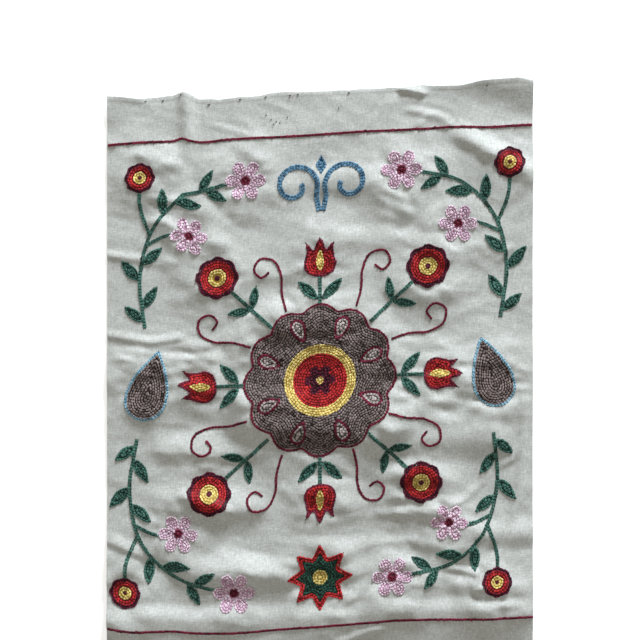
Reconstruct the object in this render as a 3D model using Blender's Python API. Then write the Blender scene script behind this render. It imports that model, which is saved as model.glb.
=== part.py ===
"""A cut length of undyed cotton, embroidered in chain stitch, lying in shallow folds on a flat surface.

The cloth is one closed solid: a sheet with a turned hem along its far edge, its folds standing up from the
surface that it lies on, and its embroidery raised on its face. Flat sizes and places are in millimetres on
the cloth, u across it and v along it, and become metres where the mesh is made. +Y runs along the cloth,
+Z is up, and the origin is on the surface under the middle of the cloth's outline.
"""

import math
from collections import namedtuple

import bmesh
import bpy
import numpy as np
from mathutils.geometry import delaunay_2d_cdt

MM = 0.001

# The cloth and its embroidery, in millimetres
HALF_WIDTH = 170.0
CLOTH_THICKNESS = 1.2
HEM_WIDTH = 4.5
HEM_RISE = 0.5
STITCH_RISE = 0.8
BORDER_LINE_WIDTH = 2.2
STEM_WIDTH = 3.0
FIELD_CENTRE = -4.0
COLUMN_PITCH = 20.0
ROW_PITCH = 9.0
CLEAR_OF_OUTLINE = 3.0

# Where the cloth's own lines run when it is flat: its cut end, its two border lines and its hemmed end
FLAT_LINES = (-236.0, -200.0, 192.0, 228.0)

# How those lines lie: how far along Y each is at a station across the cloth
Station = namedtuple("Station", "x cut_end near_line far_line hemmed_end")
STATIONS = (
    Station(-170, -236.4, -200.4, 184.5, 223.6),
    Station(-142, -238.2, -203.4, 186.8, 222.4),
    Station(-118, -238.8, -202.8, 187.9, 224.4),
    Station(-110, -238.8, -203.4, 190.0, 227.6),
    Station(-104, -238.8, -204.0, 188.3, 226.0),
    Station(-96, -238.8, -204.4, 187.1, 221.6),
    Station(-72, -238.4, -204.4, 189.3, 222.8),
    Station(-24, -236.0, -201.0, 191.7, 227.6),
    Station(39, -231.6, -195.8, 196.0, 230.0),
    Station(64, -230.0, -193.6, 197.0, 231.2),
    Station(76, -229.8, -193.4, 197.6, 231.8),
    Station(80, -229.8, -193.4, 197.7, 233.4),
    Station(106, -229.0, -193.2, 199.4, 232.9),
    Station(134, -228.4, -192.6, 199.2, 237.2),
    Station(154, -227.6, -191.8, 200.3, 238.8),
    Station(170, -227.0, -191.2, 201.2, 236.4),
)

# Soft ridges: the two ends of the crest, its height, and how far it falls away beyond and before it
Fold = namedtuple("Fold", "x0 y0 x1 y1 height beyond before")
FOLDS = (
    Fold(-74, -35, 152, -52, 7.0, 36, 22),
    Fold(-128, -58, -42, -60, 3.6, 18, 14),
    Fold(-128, -101, -42, -105, 4.2, 18, 16),
    Fold(-112, -156, -20, -159, 5.2, 20, 15),
    Fold(-170, -196, 170, -187, 4.2, 14, 30),
    Fold(92, -125, 170, -123, 3.6, 16, 14),
    Fold(92, -165, 148, -164, 2.4, 14, 14),
    Fold(6, -173, 66, -179, 2.4, 12, 12),
    Fold(110, 193, 170, 157, 4.0, 16, 10),
    Fold(-8, 157, 60, 157, 2.6, 16, 16),
    Fold(-72, 87, -32, 84, 2.4, 14, 14),
    Fold(16, 109, 70, 107, 2.2, 14, 14),
    Fold(56, 72, 112, 69, 2.2, 14, 14),
    Fold(-68, -19, -16, -21, 2.5, 14, 12),
    Fold(-172, 35, -112, 32, 2.0, 12, 10),
    Fold(-109, 232, -106, 180, 3.6, 11, 11),
)
FOLD_END = 26.0

# Corners that lift off the surface: the line that they lift beyond, how high, and over what distance
Lift = namedtuple("Lift", "x0 y0 x1 y1 height reach")
LIFTS = (
    Lift(84, 230, 170, 203, 6.5, 34),
    Lift(-170, 194, -132, 224, 3.4, 20),
)

# Threads, as linear colours
THREADS = {
    "maroon": (0.060, 0.010, 0.018),
    "red": (0.381, 0.030, 0.034),
    "yellow": (0.610, 0.440, 0.180),
    "green": (0.052, 0.117, 0.098),
    "dark_green": (0.013, 0.045, 0.031),
    "pink": (0.560, 0.370, 0.480),
    "blue": (0.068, 0.168, 0.260),
    "light_blue": (0.150, 0.310, 0.400),
    "grey_brown": (0.125, 0.096, 0.088),
}
COTTON = (0.560, 0.540, 0.480)

# The round flowers and blossoms of one quarter of the field: the middle of each, and its radius
Round = namedtuple("Round", "u v radius")
ROSETTES = (Round(86, 86, 18), Round(151, 167, 13))
BLOSSOMS = (Round(110, 119, 16), Round(65, 164, 17))
ROSETTE_LOBES, ROSETTE_DEPTH = 8, 0.10
RED_PART, RING_PART = 0.78, 0.40
PETALS, PETAL_DEPTH = 6, 0.44
BLOSSOM_EYE = 0.27

# The vine in one quarter of the field: the points of its stem, from the field's centre
VINE = ((144, 44), (149, 86), (139, 126), (114, 152), (80, 162))
VineLeaf = namedtuple("VineLeaf", "along side length")
VINE_LEAVES = (
    VineLeaf(0.03, -1, 23),
    VineLeaf(0.10, 1, 24),
    VineLeaf(0.25, -1, 25),
    VineLeaf(0.33, 1, 24),
    VineLeaf(0.62, -1, 24),
    VineLeaf(0.70, 1, 25),
    VineLeaf(0.85, -1, 22),
    VineLeaf(0.88, 1, 22),
)
LEAF_LEAN = 42.0
LEAF_WIDTH = 0.40
INNER_TWIG = 0.44
CORNER_TWIG = 0.50
TWIG_BOW = 4.0

# The short stem of the inner round flower, and the two small leaves at its middle
SHORT_STEM = ((40, 44), (58, 60), (76, 76))
SHORT_LEAF = (22.0, 8.0)
SHORT_LEAF_FOOT = (57, 59)
SHORT_LEAF_TURNS = (8.0, -98.0)

# The medallion in the middle of the field: its scallops, its drops, and the radii of its ringed heart
MEDALLION = 62.0
MEDALLION_RIM = 3.2
SCALLOPS, SCALLOP_DEPTH = 12, 0.09
DROPS, DROP_SIZE, DROP_FOOT = 8, (22.0, 13.0), 32.0
HEART_RING, HEART, HEART_FLOWER = 29.0, 22.0, 13.0
HEART_PETALS, HEART_PETAL_DEPTH = 6, 0.35

# The four tulips round the medallion
TULIP_STEM_FOOT = 58.0
TULIP_FOOT = 82.0
TULIP_LENGTH = 32.0
TULIP_SIDE = ((0.0, 0.0), (0.30, 0.08), (0.42, 0.36), (0.34, 0.68), (0.44, 1.0), (0.16, 0.70))
TULIP_TIP = (0.0, 1.06)
PETAL_LENGTH = 25.0
PETAL_FOOT = 2.6
FLAME_SIZE = (20.0, 7.0)
FLAME_FOOT = 4.0
TULIP_LEAF = (25.0, 9.0)
TULIP_LEAF_FOOT = 64.0
TULIP_LEAF_LEAN = 46.0

# The scroll over the far tulip: where it stands, how its horns wind in, and the lozenge over them
SCROLL_PLACE = (1, 152)
SCROLL_WIDTH = 4.6
HORN_FOOT = (1.5, -21.0)
HORN_MIDDLE = 21.0
HORN_POINTS = 15
HORN_START, HORN_TURN = 205.0, 400.0
HORN_OUTER, HORN_INNER = 19.0, 5.5
HORN_SPACING = 6.5
LOZENGE_RISE = 16.0
LOZENGE_LONG, LOZENGE_SHORT = 9.0, 5.0

# The star under the near tulip, as its points and waists from its edge inwards
STAR_PLACE = (0, -161)
STAR_POINTS = 8
STAR_EDGE = (28.0, 17.0)
STAR_FIELD = (23.5, 14.3)
STAR_EYE = 6.5

# The almond at each side: its length, width and the bend of its tip
ALMOND_PLACE = (140, -32)
ALMOND = (58.0, 36.0, -12.0)
KERNEL = (49.0, 28.0, -10.0)
KERNEL_FOOT = 3.0

# The four quarters differ a little, as drawn by hand
Quarter = namedtuple("Quarter", "side_u side_v size turn")
QUARTERS = (
    Quarter(1, 1, 1.00, 0.0),
    Quarter(-1, 1, 0.98, 1.5),
    Quarter(-1, -1, 1.01, -1.0),
    Quarter(1, -1, 0.97, 2.0),
)

# How finely outlines are drawn: points on a lobe, on each side of a leaf, and the spacing along a stem
LOBE_POINTS = 2
ROUND_POINTS = 12
SIDE_POINTS = 5
STEM_SPACING = 14.0
VINE_STEP = 4.0
BORDER_POINTS = 24


def through(stations, values, x):
    """A smooth curve through the values at the stations, which never swings past them."""
    width = np.diff(stations)
    rise = np.diff(values) / width
    before, after = rise[:-1], rise[1:]
    steady = before * after > 0
    slope = np.concatenate([rise[:1], np.zeros(len(before)), rise[-1:]])
    slope[1:-1][steady] = (2 * before * after)[steady] / (before + after)[steady]
    i = np.clip(np.searchsorted(stations, x, side="right") - 1, 0, len(width) - 1)
    t = (x - stations[i]) / width[i]
    left = (1 + 2 * t) * values[i] + t * width[i] * slope[i]
    right = (3 - 2 * t) * values[i + 1] + (t - 1) * width[i] * slope[i + 1]
    return (1 - t) ** 2 * left + t**2 * right


def laid(flat):
    """Where points of the flat cloth lie in plan."""
    u, v = flat[:, 0], flat[:, 1]
    table = np.array(STATIONS, float)
    lines = [through(table[:, 0], table[:, 1 + k], u) for k in range(len(FLAT_LINES))]
    band = np.clip(np.searchsorted(FLAT_LINES, v, side="right") - 1, 0, len(FLAT_LINES) - 2)
    y = np.zeros(len(v))
    for k in range(len(FLAT_LINES) - 1):
        share = (v - FLAT_LINES[k]) / (FLAT_LINES[k + 1] - FLAT_LINES[k])
        y = np.where(band == k, lines[k] + share * (lines[k + 1] - lines[k]), y)
    return np.stack([u, y], axis=1)


def beside(plan, line):
    """How far points lie along a line, from its start, and how far to the left of it, with its length."""
    start = np.array((line.x0, line.y0), float)
    way = np.array((line.x1, line.y1), float) - start
    length = np.linalg.norm(way)
    way /= length
    away = plan - start
    return away @ way, away @ np.array((-way[1], way[0])), length


def hump(t):
    """One at nought, falling softly to nothing at one."""
    return np.cos(np.clip(np.abs(t), 0, 1) * math.pi / 2) ** 2


def height(plan):
    """How far the cloth's underside stands above the surface."""
    z = np.zeros(len(plan))
    for fold in FOLDS:
        along, left, length = beside(plan, fold)
        past_end = np.maximum(np.maximum(-along, along - length) + FOLD_END / 2, 0)
        across = np.where(left > 0, left / fold.beyond, left / fold.before)
        z = z + fold.height * hump(past_end / FOLD_END) * hump(across)
    for lift in LIFTS:
        _, left, _ = beside(plan, lift)
        z = np.maximum(z, lift.height * (1 - hump(np.maximum(left, 0) / lift.reach)))
    return z


def placed(points, u=0.0, v=0.0, turn=0.0):
    """A shape turned by so many degrees about its own origin, then moved."""
    a = math.radians(turn)
    rotation = np.array(((math.cos(a), math.sin(a)), (-math.sin(a), math.cos(a))))
    return np.asarray(points, float) @ rotation + (u, v)


def lobed(radius, lobes, depth):
    """A round outline with so many shallow lobes."""
    angles = np.arange(lobes * LOBE_POINTS) * 2 * math.pi / (lobes * LOBE_POINTS)
    r = radius * (1 - depth * (1 - np.abs(np.cos(lobes * angles / 2))))
    return np.stack([r * np.cos(angles), r * np.sin(angles)], axis=1)


def disc(radius):
    angles = np.arange(ROUND_POINTS) * 2 * math.pi / ROUND_POINTS
    return radius * np.stack([np.cos(angles), np.sin(angles)], axis=1)


def star(points, outer, inner):
    angles = math.pi / 2 + np.arange(2 * points) * math.pi / points
    r = np.where(np.arange(2 * points) % 2 == 0, outer, inner)
    return np.stack([r * np.cos(angles), r * np.sin(angles)], axis=1)


def two_sided(length, half_width, bend=0.0):
    """An outline along +Y from a foot at the origin: half_width says how wide it is along its length."""
    t = (1 - np.cos(np.arange(SIDE_POINTS + 1) * math.pi / SIDE_POINTS)) / 2
    middle = bend * t**2
    w = half_width(t)
    right = np.stack([middle + w, length * t], axis=1)
    left = np.stack([middle - w, length * t], axis=1)
    return np.concatenate([right, left[-2:0:-1]])


def leaf(length, width):
    """Pointed at both ends, and widest a little before its middle."""
    return two_sided(length, lambda t: width / 2 * np.sin(math.pi * t**0.85))


def drop(length, width):
    """Pointed at its foot, with a round head."""
    return two_sided(length, lambda t: width * 1.3 * t * np.sqrt(1 - t))


def almond(length, width, bend):
    """Round at its foot, with a tip that bends over."""
    return two_sided(length, lambda t: width * 1.3 * (1 - t) * np.sqrt(t), bend)


def tulip(length):
    """A cup with three pointed petals, on its foot at the origin."""
    right = np.array(TULIP_SIDE)
    left = right[:0:-1] * (-1, 1)
    return np.concatenate([right, [TULIP_TIP], left]) * length


def smooth_route(points, spacing):
    """Evenly spaced points on a smooth curve through the points."""
    points = np.array(points, float)
    steps = np.linalg.norm(np.diff(points, axis=0), axis=1)
    along = np.concatenate([[0], np.cumsum(steps)])
    at = np.linspace(0, along[-1], max(2, round(along[-1] / spacing) + 1))
    tangent = np.gradient(points, along, axis=0)
    i = np.clip(np.searchsorted(along, at, side="right") - 1, 0, len(steps) - 1)
    t = ((at - along[i]) / steps[i])[:, None]
    gap = steps[i][:, None]
    left = (1 + 2 * t) * points[i] + t * gap * tangent[i]
    right = (3 - 2 * t) * points[i + 1] + (t - 1) * gap * tangent[i + 1]
    return (1 - t) ** 2 * left + t**2 * right


def sides(route):
    """The unit direction of a route at each of its points, and the one to its left."""
    way = np.gradient(route, axis=0)
    way /= np.linalg.norm(way, axis=1)[:, None]
    return way, np.stack([-way[:, 1], way[:, 0]], axis=1)


def stem(points, width=STEM_WIDTH, spacing=STEM_SPACING):
    route = smooth_route(points, spacing)
    _, left = sides(route)
    return np.concatenate([route - left * width / 2, (route + left * width / 2)[::-1]])


def rosette(radius):
    """A round flower: maroon round red, with a yellow ring and a maroon heart."""
    yield "maroon", lobed(radius, ROSETTE_LOBES, ROSETTE_DEPTH)
    yield "red", disc(radius * RED_PART)
    yield "yellow", disc(radius * RING_PART)


def blossom(radius):
    """Six pointed pink petals round a maroon centre."""
    yield "pink", lobed(radius, PETALS, PETAL_DEPTH)
    yield "maroon", disc(radius * BLOSSOM_EYE)


def medallion():
    """The large flower in the middle: a scalloped field with eight drops in it, round a ringed heart."""
    yield "maroon", lobed(MEDALLION, SCALLOPS, SCALLOP_DEPTH)
    yield "grey_brown", lobed(MEDALLION - MEDALLION_RIM, SCALLOPS, SCALLOP_DEPTH)
    for k in range(DROPS):
        yield "maroon", placed(placed(drop(*DROP_SIZE), 0, DROP_FOOT), turn=360 / DROPS * (k + 0.5))
    yield "yellow", disc(HEART_RING)
    yield "red", disc(HEART)
    yield "maroon", lobed(HEART_FLOWER, HEART_PETALS, HEART_PETAL_DEPTH)


def horn():
    """One arm of the scroll: it climbs from the stem and winds in on itself."""
    turns = np.linspace(0, 1, HORN_POINTS)
    angle = np.radians(HORN_START - HORN_TURN * turns)
    radius = HORN_OUTER + (HORN_INNER - HORN_OUTER) * turns
    coil = np.stack([HORN_MIDDLE + radius * np.cos(angle), radius * np.sin(angle)], axis=1)
    return stem(np.concatenate([[HORN_FOOT], coil]), SCROLL_WIDTH, HORN_SPACING)


def scroll():
    """A blue pair of horns with a lozenge over them."""
    arm = horn()
    yield "blue", arm
    yield "blue", arm * (-1, 1)
    yield "blue", placed(star(2, LOZENGE_LONG, LOZENGE_SHORT), 0, LOZENGE_RISE)


def tulip_spray():
    """A tulip on a short stem with a leaf on each side, growing outwards from the medallion."""
    yield "green", stem([(0, TULIP_STEM_FOOT), (0, TULIP_FOOT + STEM_WIDTH)])
    for side in (-1, 1):
        yield "green", placed(leaf(*TULIP_LEAF), side, TULIP_LEAF_FOOT, -TULIP_LEAF_LEAN * side)
    yield "maroon", placed(tulip(TULIP_LENGTH), 0, TULIP_FOOT)
    yield "red", placed(tulip(PETAL_LENGTH), 0, TULIP_FOOT + PETAL_FOOT)
    yield "yellow", placed(leaf(*FLAME_SIZE), 0, TULIP_FOOT + FLAME_FOOT)


def quarter():
    """All that stands in one quarter of the field, drawn for the one on the right and far from the start."""
    yield "green", stem(SHORT_STEM)
    for turn in SHORT_LEAF_TURNS:
        yield "green", placed(leaf(*SHORT_LEAF), *SHORT_LEAF_FOOT, turn)
    route = smooth_route(VINE, VINE_STEP)
    way, _ = sides(route)
    yield "green", stem(VINE)
    for row in VINE_LEAVES:
        i = round(row.along * (len(route) - 1))
        lean = math.degrees(math.atan2(way[i, 1], way[i, 0])) - 90 + LEAF_LEAN * row.side
        yield "green", placed(leaf(row.length, row.length * LEAF_WIDTH), *route[i], lean)
    inner = route[round(INNER_TWIG * (len(route) - 1))]
    corner = route[round(CORNER_TWIG * (len(route) - 1))]
    flower, bud = np.array(BLOSSOMS[0][:2]), np.array(ROSETTES[1][:2])
    yield "green", stem([inner, (inner + flower) / 2 + (0, TWIG_BOW), flower])
    yield "green", stem([corner, (corner + bud) / 2 + (TWIG_BOW, 0), bud])
    for rounds, flower_of in ((ROSETTES, rosette), (BLOSSOMS, blossom)):
        for row in rounds:
            for thread, points in flower_of(row.radius):
                yield thread, placed(points, row.u, row.v)


def design():
    """Every embroidered shape with its thread, on the flat cloth, in the order in which they lie."""
    for k in (1, 2):
        line, half = FLAT_LINES[k], BORDER_LINE_WIDTH / 2
        u = np.linspace(1 - HALF_WIDTH, HALF_WIDTH - 1, BORDER_POINTS)
        near, far = np.stack([u, 0 * u + line - half], 1), np.stack([u, 0 * u + line + half], 1)
        yield "maroon", np.concatenate([near, far[::-1]])
    for row in QUARTERS:
        mirror = np.array((row.side_u, row.side_v))
        for thread, points in quarter():
            yield thread, placed(points * row.size, turn=row.turn) * mirror + (0, FIELD_CENTRE)
    for k in range(4):
        for thread, points in tulip_spray():
            yield thread, placed(points, 0, FIELD_CENTRE, 90 * k)
    for thread, points in medallion():
        yield thread, placed(points, 0, FIELD_CENTRE)
    for thread, points in scroll():
        yield thread, placed(points, *SCROLL_PLACE)
    for thread, points in (
        ("red", star(STAR_POINTS, *STAR_EDGE)),
        ("dark_green", star(STAR_POINTS, *STAR_FIELD)),
        ("yellow", disc(STAR_EYE)),
    ):
        yield thread, placed(points, *STAR_PLACE)
    for side in (-1, 1):
        for thread, points in (
            ("light_blue", almond(*ALMOND)),
            ("grey_brown", placed(almond(*KERNEL), 0, KERNEL_FOOT)),
        ):
            yield thread, placed(points, *ALMOND_PLACE) * (side, 1)


def outward(points):
    """The outline turned so that it runs counter-clockwise."""
    x, y = points[:, 0], points[:, 1]
    area = (x * np.roll(y, -1) - y * np.roll(x, -1)).sum()
    return points if area > 0 else points[::-1]


def off_outlines(points, outlines):
    """The points that lie clear of every outline, so that no thin triangles come between."""
    nearest = np.full(len(points), np.inf)
    for outline in outlines:
        a, way = outline, np.roll(outline, -1, axis=0) - outline
        away = points[:, None] - a[None]
        share = np.clip((away * way).sum(2) / (way**2).sum(1), 0, 1)
        gap = np.linalg.norm(away - share[..., None] * way, axis=2).min(1)
        nearest = np.minimum(nearest, gap)
    return points[nearest > CLEAR_OF_OUTLINE]


def grid():
    """The points of the flat cloth: its rim, with the two ends of the hem's seam, and those inside it."""
    cut, hemmed = FLAT_LINES[0], FLAT_LINES[-1]
    across = np.linspace(-HALF_WIDTH, HALF_WIDTH, round(2 * HALF_WIDTH / COLUMN_PITCH) + 1)
    seam = hemmed - HEM_WIDTH
    along = np.append(np.linspace(cut, seam, round((seam - cut) / ROW_PITCH) + 1), hemmed)
    u, v = (c.ravel() for c in np.meshgrid(across, along))
    points = np.stack([u, v], axis=1)
    fixed = (np.abs(u) > HALF_WIDTH - 0.1) | (v < cut + 0.1) | (v > seam - 0.1)
    return points[fixed], points[~fixed], seam


def drawn_cloth():
    """The flat cloth cut into triangles along every outline: its points, triangles and their threads."""
    shapes = [(thread, outward(points)) for thread, points in design()]
    rim, inside, seam = grid()
    inside = off_outlines(inside, [points for _, points in shapes])
    points, faces = [rim, inside], []
    start = len(rim) + len(inside)
    for _, outline in shapes:
        faces.append(list(range(start, start + len(outline))))
        points.append(outline)
        start += len(outline)
    points = [tuple(p) for p in np.concatenate(points)]
    flat, _, triangles, _, _, inside_of = delaunay_2d_cdt(points, [], faces, 0, 1e-4, True)
    flat = np.array([tuple(p) for p in flat])
    names = []
    for corners, shape_numbers in zip(triangles, inside_of):
        name = shapes[max(shape_numbers)][0] if shape_numbers else "cotton"
        if flat[corners, 1].mean() > seam:
            name = "hem"
        names.append(name)
    return flat, triangles, names


def material(name, colour, roughness):
    made = bpy.data.materials.new(name)
    made.use_nodes = True
    shader = made.node_tree.nodes["Principled BSDF"]
    shader.inputs["Base Color"].default_value = (*colour, 1)
    shader.inputs["Roughness"].default_value = roughness
    shader.inputs["Metallic"].default_value = 0
    return made


def raise_faces(bm, faces, rise):
    """Pushes a region of the cloth's face up by so many millimetres, with walls round it."""
    edges = list({edge for face in faces for edge in face.edges})
    made = bmesh.ops.extrude_face_region(bm, geom=faces + edges)["geom"]
    moved = [g for g in made if isinstance(g, bmesh.types.BMVert)]
    bmesh.ops.translate(bm, verts=moved, vec=(0, 0, rise * MM))


def cloth():
    """The sheet with its folds, hem and embroidery, as one closed solid."""
    flat, triangles, names = drawn_cloth()
    plan = laid(flat)
    points = np.column_stack([plan, height(plan)]) * MM
    slots = ["cotton", *THREADS]
    bm = bmesh.new()
    verts = [bm.verts.new(p) for p in points]
    kind = bm.faces.layers.string.new("kind")
    for corners, name in zip(triangles, names):
        face = bm.faces.new([verts[i] for i in corners])
        face[kind] = name.encode()
        face.material_index = slots.index(name) if name in slots else 0
    bmesh.ops.recalc_face_normals(bm, faces=bm.faces)
    under = list(bm.faces)
    made = bmesh.ops.extrude_face_region(bm, geom=under)["geom"]
    upper = [g for g in made if isinstance(g, bmesh.types.BMFace) and len(g.verts) == 3]
    moved = [g for g in made if isinstance(g, bmesh.types.BMVert)]
    bmesh.ops.translate(bm, verts=moved, vec=(0, 0, CLOTH_THICKNESS * MM))
    for face in under:
        face.material_index = 0
    raise_faces(bm, [f for f in upper if f[kind].decode() in THREADS], STITCH_RISE)
    hem = [f for f in upper if f.is_valid and f[kind].decode() == "hem"]
    raise_faces(bm, hem, HEM_RISE)
    bmesh.ops.recalc_face_normals(bm, faces=bm.faces)
    mesh = bpy.data.meshes.new("ground_cloth")
    bm.to_mesh(mesh)
    bm.free()
    mesh.materials.append(material("cotton", COTTON, 0.9))
    for name, colour in THREADS.items():
        mesh.materials.append(material("thread_" + name, colour, 0.6))
    made = bpy.data.objects.new("ground_cloth", mesh)
    bpy.context.scene.collection.objects.link(made)


for old in list(bpy.data.objects):
    bpy.data.objects.remove(old)
cloth()
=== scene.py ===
"""A cut length of undyed cotton, embroidered in chain stitch, lying in shallow folds.

Flat places and sizes are in millimetres on the cloth, u across it and v along it, and they become metres
where a mesh is made. The cloth comes first, then the stitch, then each motif from the middle outwards.
"""

import math
from collections import namedtuple

import bmesh
import bpy
import numpy as np
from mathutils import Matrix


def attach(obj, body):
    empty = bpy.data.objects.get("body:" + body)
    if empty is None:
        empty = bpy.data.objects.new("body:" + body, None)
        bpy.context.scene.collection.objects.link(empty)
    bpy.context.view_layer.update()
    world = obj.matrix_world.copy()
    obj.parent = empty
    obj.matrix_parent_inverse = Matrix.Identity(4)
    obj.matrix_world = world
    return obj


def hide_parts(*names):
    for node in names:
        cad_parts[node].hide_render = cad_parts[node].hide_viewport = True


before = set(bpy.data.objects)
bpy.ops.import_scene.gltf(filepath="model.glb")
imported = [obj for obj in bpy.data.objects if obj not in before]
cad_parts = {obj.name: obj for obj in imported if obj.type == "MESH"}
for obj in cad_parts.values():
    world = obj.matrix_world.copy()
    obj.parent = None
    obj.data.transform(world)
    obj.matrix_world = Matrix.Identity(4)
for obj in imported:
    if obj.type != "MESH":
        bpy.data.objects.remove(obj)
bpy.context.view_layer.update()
MM = 0.001


# Marking out
# Before it is worked, the cloth is marked with the middle of the field and the places of its motifs. The
# four quarters repeat one drawing and differ a little, as drawn by hand.

FIELD_CENTRE = -4.0
MEDALLION = 62.0
TULIP_FOOT = 82.0
TULIP_TURNS = (0, 90, 180, 270)
TULIP_MIDDLE, TULIP_REACH = 16, 14
STAR_PLACE = (0, -161)
STAR_REACH = 23
ALMOND_PLACE = (140, -32)
ALMOND_MIDDLE, ALMOND_REACH = 24, 20
Quarter = namedtuple("Quarter", "side_u side_v size turn")
QUARTERS = (
    Quarter(1, 1, 1.00, 0.0),
    Quarter(-1, 1, 0.98, 1.5),
    Quarter(-1, -1, 1.01, -1.0),
    Quarter(1, -1, 0.97, 2.0),
)
Round = namedtuple("Round", "u v radius")
ROSETTES = (Round(86, 86, 18), Round(151, 167, 13))
BLOSSOMS = (Round(110, 119, 16), Round(65, 164, 17))


def placed(points, u=0.0, v=0.0, turn=0.0):
    """A shape turned by so many degrees about its own origin, then moved."""
    a = math.radians(turn)
    rotation = np.array(((math.cos(a), math.sin(a)), (-math.sin(a), math.cos(a))))
    return np.asarray(points, float) @ rotation + (u, v)


def central(points, turn=0.0):
    """A shape drawn about the middle of the field."""
    return placed(points, 0, FIELD_CENTRE, turn)


def in_each_quarter(shapes):
    """The shapes of one quarter, repeated in all four."""
    repeated = []
    for row in QUARTERS:
        mirror = np.array((row.side_u, row.side_v))
        for points in shapes:
            turned = placed(np.asarray(points) * row.size, turn=row.turn)
            repeated.append(turned * mirror + (0, FIELD_CENTRE))
    return repeated


def motif_rounds():
    """The middle of every large motif, with the radius that it covers."""
    rounds = [Round(0, FIELD_CENTRE, MEDALLION), Round(*STAR_PLACE, STAR_REACH)]
    u, v = ALMOND_PLACE
    rounds += [Round(side * u, v + ALMOND_MIDDLE, ALMOND_REACH) for side in (-1, 1)]
    for turn in TULIP_TURNS:
        rounds.append(Round(*central([(0, TULIP_FOOT + TULIP_MIDDLE)], turn)[0], TULIP_REACH))
    flowers = ROSETTES + BLOSSOMS
    middles = in_each_quarter([[row[:2]] for row in flowers])
    for k, middle in enumerate(middles):
        rounds.append(Round(*middle[0], flowers[k % len(flowers)].radius))
    return rounds


# Ground cloth
# One length of undyed hand-loomed cotton, cut at its two sides and its near end and hemmed at its far end.
# It lies loosely, so it stands in soft ridges, and the stitching draws the field up into small puckers.

CLOTH_NODE = "ground_cloth"
HALF_WIDTH = 170.0
HEM_WIDTH = 4.0
HEM_RISE = 0.14
HEM_ROWS = (0.7, 1.5)
HEM_EDGE_ROW = 0.7
HEM_FOOT, HEM_LIP = 0.5, 0.3
CLOTH_TOP = 0.8
CLOTH_THICKNESS = 0.65
COLUMNS = 132
ROWS = 350
EDGE_COLUMN = 0.15
FLAT_LINES = (-236.0, -200.0, 192.0, 228.0)

Station = namedtuple("Station", "x cut_end near_line far_line hemmed_end")
STATIONS = (
    Station(-170, -236.4, -200.4, 184.5, 223.6),
    Station(-142, -238.2, -203.4, 186.8, 222.4),
    Station(-118, -238.8, -202.8, 187.9, 224.4),
    Station(-110, -238.8, -203.4, 190.0, 227.6),
    Station(-104, -238.8, -204.0, 188.3, 226.0),
    Station(-96, -238.8, -204.4, 187.1, 221.6),
    Station(-72, -238.4, -204.4, 189.3, 222.8),
    Station(-24, -236.0, -201.0, 191.7, 227.6),
    Station(39, -231.6, -195.8, 196.0, 230.0),
    Station(64, -230.0, -193.6, 197.0, 231.2),
    Station(76, -229.8, -193.4, 197.6, 231.8),
    Station(80, -229.8, -193.4, 197.7, 233.4),
    Station(106, -229.0, -193.2, 199.4, 232.9),
    Station(134, -228.4, -192.6, 199.2, 237.2),
    Station(154, -227.6, -191.8, 200.3, 238.8),
    Station(170, -227.0, -191.2, 201.2, 236.4),
)

Fold = namedtuple("Fold", "route height beyond before end")
FOLDS = (
    Fold(((-74, -35), (152, -52)), 6.5, 36, 22, 26),
    Fold(((-128, -58), (-42, -60)), 3.2, 18, 14, 26),
    Fold(((-128, -101), (-42, -105)), 3.6, 18, 16, 26),
    Fold(((-112, -156), (-20, -159)), 4.6, 20, 15, 26),
    Fold(((-170, -196), (170, -187)), 3.8, 14, 30, 26),
    Fold(((92, -125), (170, -123)), 3.0, 16, 14, 26),
    Fold(((92, -165), (148, -164)), 2.0, 14, 14, 26),
    Fold(((6, -173), (66, -179)), 2.0, 12, 12, 26),
    Fold(((110, 193), (170, 157)), 3.6, 16, 10, 26),
    Fold(((-8, 157), (60, 157)), 2.2, 16, 16, 26),
    Fold(((-72, 87), (-32, 84)), 2.0, 14, 14, 26),
    Fold(((16, 109), (70, 107)), 1.8, 14, 14, 26),
    Fold(((56, 72), (112, 69)), 1.8, 14, 14, 26),
    Fold(((-109, 232), (-106, 180)), 3.0, 10, 9, 26),
)
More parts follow.
